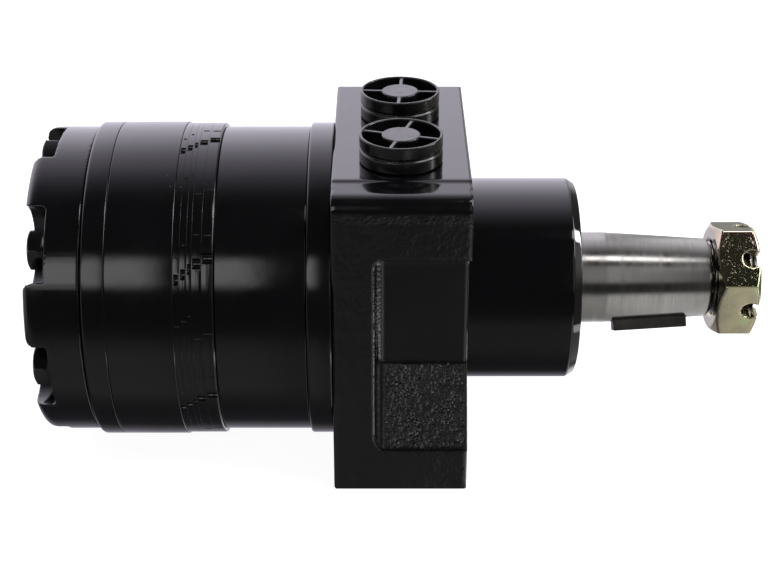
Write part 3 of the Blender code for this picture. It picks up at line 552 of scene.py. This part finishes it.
def blocks(name, size, frames, finish=None):
    shape = bmesh.new()
    for frame_here in frames:
        bmesh.ops.create_cube(shape, size=1, matrix=frame_here @ Matrix.Diagonal((*size, 1)))
    return piece(name, to_mesh(shape, name), finish)


def slab(name, outline, start, end):
    """A flat outline of (back, up) points, carried along the shaft axis."""
    shape = bmesh.new()
    near = [shape.verts.new(point(start, back, up)) for back, up in outline]
    far = [shape.verts.new(point(end, back, up)) for back, up in outline]
    count = len(outline)
    shape.faces.new(near)
    shape.faces.new(reversed(far))
    for i in range(count):
        shape.faces.new([near[i], far[i], far[(i + 1) % count], near[(i + 1) % count]])
    return piece(name, to_mesh(shape, name))


def arc(centre_back, centre_up, radius, first_deg, last_deg, steps):
    points = []
    for i in range(steps + 1):
        turn = math.radians(first_deg + (last_deg - first_deg) * i / steps)
        points.append((centre_back + radius * math.cos(turn), centre_up + radius * math.sin(turn)))
    return points


def settle(thing):
    """Applies a piece's modifiers to its mesh."""
    bpy.context.view_layer.update()
    evaluated = thing.evaluated_get(bpy.context.evaluated_depsgraph_get())
    mesh = bpy.data.meshes.new_from_object(evaluated)
    old = thing.data
    thing.modifiers.clear()
    thing.data = mesh
    bpy.data.meshes.remove(old)
    return thing


def combine(thing, operation, *others):
    for other in others:
        step = thing.modifiers.new(other.name, "BOOLEAN")
        step.operation = operation
        step.solver = "EXACT"
        step.object = other
    settle(thing)
    for other in others:
        bpy.data.objects.remove(other, do_unlink=True)
    return thing


def soften(thing, grain, passes=3):
    """Remeshes evenly and relaxes, which rounds every edge the way thick paint or plating does."""
    finish = list(thing.data.materials)
    remesh = thing.modifiers.new("remesh", "REMESH")
    remesh.mode = "VOXEL"
    remesh.voxel_size = grain
    relax = thing.modifiers.new("relax", "SMOOTH")
    relax.factor = 0.5
    relax.iterations = passes
    settle(thing)
    if not thing.data.materials:
        for one in finish:
            thing.data.materials.append(one)
    return thing


def bevelled(thing, width, segments=3, angle=30):
    bevel = thing.modifiers.new("edges", "BEVEL")
    bevel.width = width
    bevel.segments = segments
    bevel.limit_method = "ANGLE"
    bevel.angle_limit = math.radians(angle)
    return settle(thing)


def smooth(thing, angle=35):
    thing.data.shade_smooth()
    thing.data.set_sharp_from_angle(angle=math.radians(angle))
    return thing


def place(thing, body, finish, *nodes):
    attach(thing, body)
    if nodes:
        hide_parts(*nodes)
    return thing


def bolt_angles():
    return [BOLT_STEP * i for i in range(BOLT_COUNT)]


def round_holes(name, start, end, circle, radius, sides=32, turn=0.0):
    """Seven cutters along the shaft on a circle, one at each screw or turned from it."""
    holes = []
    for deg in bolt_angles():
        holes.append((spot(start, circle, deg + turn), spot(end, circle, deg + turn), radius))
    return rods(name, holes, sides)


def bolt_holes(start, end):
    return round_holes("holes", start, end, BOLT_CIRCLE, BOLT_HOLE)


def span(node):
    """A ring node's start and end along the axis and its radius, in the motor's frame."""
    low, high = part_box(node)
    return low.x - ORIGIN.x, high.x - ORIGIN.x, high.z - AXIS_Z


# ---------------------------------------------------------------- housing

def cast_noise(where, size, depth):
    return depth * (noise.noise(where / size) + 0.5 * noise.noise(where / size * 2.1))


def pocket_outline(inset):
    """Points (back, up) round a side pocket: its sloping floor, its flat wall and its rounded ceiling."""
    mouth = HOUSING_HIGH.y + PAST
    wall, ceiling, corner = 35.1 * MM + inset, 30.5 * MM - inset, 8 * MM - inset
    crease = -14.4 * MM + inset * (math.hypot(1, POCKET_FALL) - POCKET_FALL)
    floor = [(mouth, crease - POCKET_FALL * (mouth - wall)), (wall, crease)]
    return floor + arc(wall + corner, ceiling - corner, corner, 180, 90, 12) + [(mouth, ceiling)]


def side_pocket(side, start, end):
    fillet = 2.8 * MM
    sections = [(end, 0)]
    for i in range(9):
        turn = math.radians(90 * i / 8)
        sections.append((start + fillet * (1 - math.sin(turn)), fillet * (1 - math.cos(turn))))
    shape = bmesh.new()
    rows = []
    for along, inset in sections:
        rows.append([shape.verts.new(point(along, side * back, up)) for back, up in pocket_outline(inset)])
    for row, following in zip(rows, rows[1:]):
        for i in range(len(row)):
            shape.faces.new([row[i - 1], row[i], following[i], following[i - 1]])
    shape.faces.new(rows[0])
    shape.faces.new(rows[-1])
    bmesh.ops.triangulate(shape, faces=shape.faces)
    return piece("pocket", to_mesh(shape, "pocket"))


def housing_outline(side, top, low):
    """Points (back, up) round the block. Its machined top ends in a low step, and the cast strip beyond
    that falls a little to the front corner."""
    step, fall = 0.5 * MM, 0.7 * MM
    corner, foot = 5.5 * MM, 2 * MM
    outline = [(side, top), (MACHINED_TOP_FRONT, top), (MACHINED_TOP_FRONT, top - step)]
    outline += arc(-side + corner, top - step - fall - corner, corner, 95, 180, 12)
    outline += arc(-side + foot, low + foot, foot, 180, 270, 6)
    return outline + arc(side - foot, low + foot, foot, 270, 360, 6)


def housing_cavity():
    front, shoulder, drive_bore = BLOCK_LENGTH + PAST, 23.7 * MM, 27.8 * MM
    return lathe(
        "cavity",
        [
            (front, 0, 0),
            (front, RACE_BORE, 0),
            (shoulder, RACE_BORE, 0),
            (shoulder, drive_bore, 0),
            (-PAST, drive_bore, 0),
            (-PAST, 0, 0),
        ],
        segments=96,
    )


def seal_groove():
    depth, inner, outer = 1.6 * MM, 36.4 * MM, 38.8 * MM
    corners = [(depth, outer, 0), (-PAST, outer, 0), (-PAST, inner, 0), (depth, inner, 0)]
    return lathe("groove", corners, segments=96)


def port_bores(top):
    bores = []
    for side in (-1, 1):
        ends = [point(PORT_ALONG, side * PORT_BACK, up) for up in (top + PAST, 38 * MM)]
        bores.append((*ends, 11.1 * MM))
    return rods("ports", bores, 64)


def mounting_holes():
    """Four blind screw holes in the block's front face."""
    holes = []
    for back, up in ((-1, -1), (-1, 1), (1, -1), (1, 1)):
        depths = (BLOCK_LENGTH - 18 * MM, BLOCK_LENGTH + PAST)
        ends = [point(along, back * 38 * MM, up * 42 * MM) for along in depths]
        holes.append((*ends, 4.2 * MM))
    return rods("mounts", holes)


def oil_passages():
    """One port opens into the cavity, the other into a screw hole's oil way."""
    along, up = 16 * MM, 40 * MM
    return rods(
        "passages",
        [
            (point(along, PORT_BACK, up), point(along, PORT_BACK, 18 * MM), 4.5 * MM),
            (point(along, -22.2 * MM, up), spot(6 * MM, BOLT_CIRCLE, BOLT_STEP), 3 * MM),
        ],
    )


def make_housing():
    side = HOUSING_HIGH.y
    top = HOUSING_HIGH.z - AXIS_Z
    low = HOUSING_LOW.z - AXIS_Z
    housing = slab("housing_block", housing_outline(side, top, low), 0, BLOCK_LENGTH)
    cutters = [side_pocket(s, FLANGE, BLOCK_LENGTH + PAST) for s in (-1, 1)]
    cutters += [housing_cavity(), seal_groove(), port_bores(top), mounting_holes(), oil_passages()]
    combine(housing, "DIFFERENCE", *cutters, bolt_holes(-PAST, 12.5 * MM))
    soften(housing, 0.6 * MM)
    for material in ("paint", "cast", "rough", "ledge"):
        housing.data.materials.append(FINISHES[material])
    roughen_casting(housing, side, low)
    place(smooth(housing, 60), "motor_body", "paint", "housing")


def make_nose():
    """The housing's round front, turned, with its bearing and seal bores. It starts inside the block."""
    end, start = HOUSING_HIGH.x - ORIGIN.x, BLOCK_LENGTH - 1 * MM
    radius, seal_bore = 35 * MM, 24.3 * MM
    nose = lathe(
        "housing_nose",
        [
            (end, 22.5 * MM, 0.3 * MM),
            (end, 33.3 * MM, 0.4 * MM),
            (end - 0.7 * MM, 33.74 * MM, 0),
            (end - 2.2 * MM, 34.685 * MM, 0),
            (end - 2.7 * MM, radius, 0.3 * MM),
            (end - 3.3 * MM, radius, 0),
            (start, radius, 0),
            (start, RACE_BORE, 0),
            (63.7 * MM, RACE_BORE, 0),
            (63.7 * MM, seal_bore, 0),
            (74.2 * MM, seal_bore, 0),
            (74.2 * MM, 18 * MM, 0),
            (76.2 * MM, 18 * MM, 0),
            (76.2 * MM, 22.5 * MM, 0),
        ],
        "nose",
        segments=240,
    )
    place(smooth(nose), "motor_body", "paint")


def casting_finish(face, side, low):
    """A block face's finish, 0 machined, 1 cast, 2 rough or 3 ledge, and whether it is lumpy."""
    where = face.center - ORIGIN
    if not 0.4 * MM < where.x < BLOCK_LENGTH - 0.4 * MM or abs(face.normal.x) > 0.98:
        return 0, False
    ragged = cast_noise(face.center, 3 * MM, 0.6 * MM)
    outer = abs(where.y) > side - 0.6 * MM
    in_pocket = not outer and abs(where.y) > 34 * MM and where.x > FLANGE and -45 * MM < where.z < 33 * MM
    if in_pocket and where.x < FLANGE + 3.2 * MM:
        return 1, False
    if outer and abs(where.z - 45 * MM + ragged) < 1.5 * MM:
        return 3, True
    if in_pocket and where.z < -14.6 * MM + ragged:
        return 2, True
    if outer and low + 0.3 * MM < where.z < 46.5 * MM:
        return 1, True
    return 0, False


def roughen_casting(housing, side, low):
    """The block's sides stay as cast. A ledge near their top and the pocket floors are rougher."""
    mesh = housing.data
    lumpy = set()
    for face in mesh.polygons:
        face.material_index, moves = casting_finish(face, side, low)
        if moves:
            lumpy.update(face.vertices)
    moved = {}
    for index in lumpy:
        vertex = mesh.vertices[index]
        lump = cast_noise(vertex.co, 6 * MM, 0.06 * MM) + cast_noise(vertex.co, 1.6 * MM, 0.03 * MM)
        moved[index] = vertex.co + vertex.normal * (lump - 0.07 * MM)
    for index, place_now in moved.items():
        mesh.vertices[index].co = place_now


# ---------------------------------------------------------------- ring stack

def make_end_cover():
    start, end, radius = span("end_cover")
    rim = [(end, 0, 0), (end, radius, 0.5 * MM), (start, radius, 4.6 * MM), (start, 0, 0)]
    cover = lathe("cover", rim, steps=8)
    recesses = round_holes("recesses", start + 7.3 * MM, start - PAST, BOLT_CIRCLE, 14.2 * MM, 64)
    combine(cover, "DIFFERENCE", recesses, bolt_holes(start, end + PAST))
    soften(cover, 0.5 * MM)
    cover.data.materials.append(FINISHES["paint"])
    place(smooth(cover, 60), "motor_body", "paint", "end_cover")


def make_ring(name, node, bore, edges, pockets=()):
    """A ring of the stack: seal groove, painted edges and screw holes. Edges are (rear, front) in mm."""
    start, end, radius = span(node)
    end += SHUT
    seat, outer, inner = 1.6 * MM, 52 * MM, 49.6 * MM
    corners = [(end, radius, edges[1] * MM), (start, radius, edges[0] * MM)]
    corners += [(start, outer, 0), (start + seat, outer, 0), (start + seat, inner, 0), (start, inner, 0)]
    corners += [(start, bore, 0.3 * MM), (end, bore, 0.3 * MM)]
    ring = lathe(name, corners)
    combine(ring, "DIFFERENCE", bolt_holes(start - PAST, end + PAST), *pockets)
    ring.data.materials.append(FINISHES["paint"])
    place(smooth(ring), "motor_body", "paint", node)


def make_rings():
    make_ring("commutator_case", "commutator_ring", 37.6 * MM, (2.6, 0.35))
    make_ring("manifold_case", "manifold_body", 15.5 * MM, (0.5, 0.3))
    start, end, _ = span("stator_ring")
    pockets = round_holes(
        "roller_pockets", start - PAST, end + PAST, 35 * MM, 6.75 * MM, 48, BOLT_STEP / 2
    )
    make_ring("stator_case", "stator_ring", 35.6 * MM, (0.4, 0.4), [pockets])
    make_ring("wear_plate_ring", "wear_plate", 14.5 * MM, (1.2, 0.5))


def plate_grooves(i, start, end, radius):
    """Round-bottomed marks in a plate's edge at each screw: (turn, how far out, groove radius, end web)."""
    shift = 12.7 - 1.83 * i
    marks = [(shift, 0.4 * MM, 1.85 * MM, 0.28 * MM)]
    if i != 2:
        marks.append((shift - 8 - 2 * (i % 2), 0.2 * MM, 0.55 * MM, 0.6 * MM))
    marks.append((shift + (26 if i > 2 else 16), 0.2 * MM, 0.5 * MM, 0.4 * MM))
    grooves = []
    for deg in bolt_angles():
        for turn, raised, size, web in marks:
            ends = [spot(along, radius + raised, deg + turn) for along in (start + web, end - web)]
            grooves.append((*ends, size))
    return rods("grooves", grooves, 20)


def make_plates():
    """Five plates whose edge marks and oil slots step round a little from plate to plate."""
    bore, crisp, front_chamfer = 15.2 * MM, 0.06 * MM, 0.7 * MM
    for i in range(5):
        node = f"manifold_plate_{i + 1}"
        start, end, radius = span(node)
        radius = max(radius, 54.3 * MM)
        end += SHUT
        front = front_chamfer if i == 4 else crisp
        corners = [(end, radius, front), (start, radius, crisp), (start, bore, 0), (end, bore, 0)]
        plate = lathe(f"plate_{i + 1}", corners, segments=240)
        slot = Matrix.Translation(spot((start + end) / 2, 24 * MM))
        frames = [around(deg + BOLT_STEP / 2 + 2 * i) @ slot for deg in bolt_angles()]
        slots = blocks("slots", (2 * (end - start), 5 * MM, 6 * MM), frames)
        grooves = plate_grooves(i, start, end, radius)
        combine(plate, "DIFFERENCE", bolt_holes(start - PAST, end + PAST), grooves, slots)
        plate.data.materials.append(FINISHES["plates"])
        place(smooth(plate), "motor_body", "paint", node)


def make_bolts():
    """Long screws: a hexagon head with its corners turned off, and a shank that ends in the housing."""
    seat, top, chamfer = -92.7 * MM, -98.3 * MM, 1.5 * MM
    corner = 6.35 * MM / math.cos(math.radians(30))
    shank_end, shank_start, shank_radius = 11 * MM, seat - 2 * MM, 3.97 * MM
    clear = 1 * MM
    for i, deg in enumerate(bolt_angles()):
        middle = spot((seat + top) / 2, BOLT_CIRCLE, deg)
        axis = (middle.y, middle.z - AXIS_Z)
        aim = Matrix.Translation(middle) @ Matrix.Rotation(math.radians(90), 4, "Y")
        shape = bmesh.new()
        bmesh.ops.create_cone(
            shape,
            cap_ends=True,
            segments=6,
            radius1=corner,
            radius2=corner,
            depth=seat - top,
            matrix=aim @ Matrix.Rotation(math.radians(30 - deg), 4, "Z"),
        )
        bolt = piece(f"bolt_{i + 1}", to_mesh(shape, "bolt"))
        envelope = [
            (seat + clear, 0, 0),
            (seat + clear, corner + clear, 0),
            (top + chamfer, corner + clear, 0),
            (top, corner - chamfer, 0),
            (top, 0, 0),
        ]
        combine(bolt, "INTERSECT", lathe("envelope", envelope, segments=64, centre=axis))
        bevelled(bolt, 0.35 * MM, 2, 25)
        shank = [
            (shank_end, 0, 0),
            (shank_end, shank_radius, 0.8 * MM),
            (shank_start, shank_radius, 0),
            (shank_start, 0, 0),
        ]
        combine(bolt, "UNION", lathe("shank", shank, segments=40, centre=axis))
        bolt.data.materials.append(FINISHES["paint"])
        place(smooth(bolt), "motor_body", "paint", f"assembly_bolt_{i + 1}")


# ---------------------------------------------------------------- shaft, key and nut

def make_shaft():
    end = SHAFT_HIGH.x - ORIGIN.x
    rear = SHAFT_LOW.x - ORIGIN.x
    taper_end, thread_start = 130.2 * MM, 131 * MM
    small_radius = SHAFT_RADIUS - (taper_end - TAPER_START) * TAPER_SLOPE
    journal, step, spline_bore, drive_bore = 20 * MM, 25.5 * MM, 10.6 * MM, 13 * MM
    shaft = lathe(
        "tapered_shaft",
        [
            (thread_start, 0, 0),
            (thread_start, 12.2 * MM, 0),
            (taper_end, 12.2 * MM, 0.2 * MM),
            (taper_end, small_radius, 0.8 * MM),
            (TAPER_START, SHAFT_RADIUS, 0.5 * MM),
            (65.5 * MM, SHAFT_RADIUS, 0.5 * MM),
            (62.5 * MM, 18.5 * MM, 0),
            (62.5 * MM, journal, 1 * MM),
            (17 * MM, journal, 0.3 * MM),
            (17 * MM, step, 0.6 * MM),
            (rear, step, 0.6 * MM),
            (rear, drive_bore, 0.5 * MM),
            (20 * MM, drive_bore, 0),
            (20 * MM, spline_bore, 0),
            (46 * MM, spline_bore, 0),
            (46 * MM, 0, 0),
        ],
    )
    teeth = [around(36 * i) @ Matrix.Translation(spot(31.5 * MM, 10.5 * MM)) for i in range(10)]
    grooves = blocks("grooves", (27 * MM, 4 * MM, 3.8 * MM), teeth)
    key_frame = key_place()
    keyway_side = KEY_SIDE + 2 * GAP
    keyway = blocks("keyway", (KEY_LENGTH + 2 * GAP, keyway_side, keyway_side), [key_frame])
    combine(shaft, "DIFFERENCE", grooves, keyway)
    combine(shaft, "UNION", make_thread(129 * MM, end))
    shaft.data.materials.append(FINISHES["steel"])
    place(smooth(shaft), "output_shaft", "steel", "output_shaft")
    key = blocks("drive_key", (KEY_LENGTH, KEY_SIDE, KEY_SIDE), [key_frame], "dark")
    bevelled(key, 0.35 * MM)
    place(smooth(key), "output_shaft", "dark", "shaft_key")


def key_place():
    """The key's middle, on the taper's slope, with part of the key standing out of it."""
    middle, stands_out = 110.1 * MM, 3.2 * MM
    surface = SHAFT_RADIUS - (middle - TAPER_START) * TAPER_SLOPE
    seat = spot(middle, surface + stands_out - KEY_SIDE / 2)
    slope = Matrix.Rotation(math.atan(TAPER_SLOPE), 4, "Y")
    return around(KEY_TURN) @ Matrix.Translation(seat) @ slope


def make_thread(start, end):
    """A right-hand 1 in, 12 per inch thread: rows of points whose radius follows the helix."""
    pitch = 25.4 / 12 * MM
    crest, depth, run_out = 12.7 * MM, 0.99 * MM, 1.2 * MM
    segments, rows = 96, 96
    shape = bmesh.new()
    grid = []
    for i in range(rows + 1):
        along = start + (end - start) * i / rows
        faded = 1 - min(1.0, (end - along) / run_out)
        row = []
        for k in range(segments):
            turn = 2 * math.pi * k / segments
            phase = (along / pitch - k / segments) % 1.0
            radius = crest - depth * (1 - abs(2 * phase - 1)) - faded * 0.9 * MM
            row.append(shape.verts.new(point(along, radius * math.sin(turn), radius * math.cos(turn))))
        grid.append(row)
    for row, following in zip(grid, grid[1:]):
        for k in range(segments):
            beside = (k + 1) % segments
            shape.faces.new([row[k], row[beside], following[beside], following[k]])
    shape.faces.new(grid[0])
    shape.faces.new(list(reversed(grid[-1])))
    return piece("thread", to_mesh(shape, "thread"))


def make_nut():
    """A hexagon with its corners turned off at both ends, and a round-bottomed slot in each flat."""
    start, end, _ = span("castle_nut")
    corner = 18.25 * MM / math.cos(math.radians(30))
    outline = []
    for i in range(6):
        turn = math.radians(NUT_TURN + 60 * i)
        outline.append((-corner * math.sin(turn), corner * math.cos(turn)))
    nut = slab("slotted_nut", outline, start, end)
    face, drop, clear = 17.6 * MM, 2 * MM, corner + 0.1 * MM
    chamfer = [
        (end, 0, 0),
        (end, face, 0),
        (end - drop, clear, 0),
        (start + drop, clear, 0),
        (start, face, 0),
        (start, 0, 0),
    ]
    combine(nut, "INTERSECT", lathe("chamfer", chamfer))
    thread_bore, flare, past, countersink = 13 * MM, 17 * MM, 3 * MM, 0.9 * MM
    bore = [
        (end + past, 0, 0),
        (end + past, flare, 0),
        (end - countersink, thread_bore, 0),
        (start + countersink, thread_bore, 0),
        (start - past, flare, 0),
        (start - past, 0, 0),
    ]
    width, depth = 6.3 * MM, 12 * MM
    root = 140 * MM + width / 2
    slots = []
    roots = []
    for i in range(6):
        deg = NUT_TURN + 30 + 60 * i
        slots.append(around(deg) @ Matrix.Translation(spot(root + depth / 2, 17 * MM)))
        roots.append((spot(root, 10 * MM, deg), spot(root, 24 * MM, deg), width / 2))
    combine(nut, "DIFFERENCE", lathe("bore", bore), rods("roots", roots, 40))
    combine(nut, "DIFFERENCE", blocks("slots", (depth, width * 0.86, depth), slots))
    soften(nut, 0.3 * MM)
    nut.data.materials.append(FINISHES["zinc"])
    place(smooth(nut, 60), "output_shaft", "zinc", "castle_nut")


# ---------------------------------------------------------------- port plugs

def plug_profile(seat, top, well):
    """Corners (up, radius, fillet) of a plug: a plain hub, a well round it, a grooved head and a stem."""
    head, groove, stem, bore = 13.65 * MM, 12.9 * MM, 10.6 * MM, 8.6 * MM
    return [
        (top - 0.3 * MM, 0, 0),
        (top - 0.3 * MM, 6.3 * MM, 0.3 * MM),
        (top - 1.6 * MM, 6.5 * MM, 0.2 * MM),
        (well, 6.2 * MM, 0.6 * MM),
        (well, 12.3 * MM, 0.6 * MM),
        (top, 12.7 * MM, 0.25 * MM),
        (top, head, 0.35 * MM),
        (seat + 4.9 * MM, 13.6 * MM, 0.35 * MM),
        (seat + 4.4 * MM, groove, 0.2 * MM),
        (seat + 3.9 * MM, 13.6 * MM, 0.35 * MM),
        (seat, head, 0.3 * MM),
        (seat, stem, 0),
        (seat - 12 * MM, stem, 0.8 * MM),
        (seat - 12 * MM, bore, 0.3 * MM),
        (well - 2 * MM, bore, 0.3 * MM),
        (well - 2 * MM, 0, 0),
    ]


def make_plugs():
    """Each plug is turned about the shaft axis, stood up on its port and given four spokes."""
    seat = HOUSING_HIGH.z - AXIS_Z + GAP
    for name, side, twist in (("front", -1, -17), ("rear", 1, -3)):
        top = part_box(f"port_plug_{name}")[1].z - AXIS_Z
        well = top - 6 * MM
        plug = lathe(f"plug_{name}", plug_profile(seat, top, well), "plastic", 128)
        centre = Matrix.Translation(point(PORT_ALONG, side * PORT_BACK, 0))
        stand_up(plug, centre)
        spoke_top, spoke_foot = top - 0.4 * MM, well - 1 * MM
        reach = Matrix.Translation((9.4 * MM, 0, (spoke_top + spoke_foot) / 2))
        spokes = [centre @ Matrix.Rotation(math.radians(twist + 90 * i), 4, "Z") @ reach for i in range(4)]
        arms = blocks("arms", (7.6 * MM, 1.3 * MM, spoke_top - spoke_foot), spokes)
        combine(plug, "UNION", arms)
        soften(plug, 0.22 * MM, 2)
        place(smooth(plug, 60), "motor_body", "plastic", f"port_plug_{name}")


def stand_up(plug, centre):
    """Carries a piece turned about the shaft axis onto an upright axis."""
    swap = Matrix(((0, 0, -1, 0), (0, 1, 0, 0), (1, 0, 0, 0), (0, 0, 0, 1)))
    plug.data.transform(centre @ swap @ Matrix.Translation(-ORIGIN))


# ---------------------------------------------------------------- inner pieces

def finish_inner_nodes():
    """Inner CAD pieces keep their shape and take a detailed finish."""
    finishes = dict.fromkeys(("shaft_seal", "dust_seal", "commutator_seal"), "rubber")
    finishes.update(dict.fromkeys(("drive_link", "backup_washer"), "steel"))
    for node, thing in CAD.items():
        finish = finishes.get(node, "rubber" if node.startswith("body_seal") else "bearing")
        thing.data.materials.clear()
        thing.data.materials.append(FINISHES[finish])
        thing.data.set_sharp_from_angle(angle=math.radians(35))


make_camera()
make_world()
make_light()
make_floor()
bpy.context.scene.view_settings.view_transform = "Standard"
finish_inner_nodes()
make_housing()
make_nose()
make_end_cover()
make_rings()
make_plates()
make_bolts()
make_shaft()
make_nut()
make_plugs()
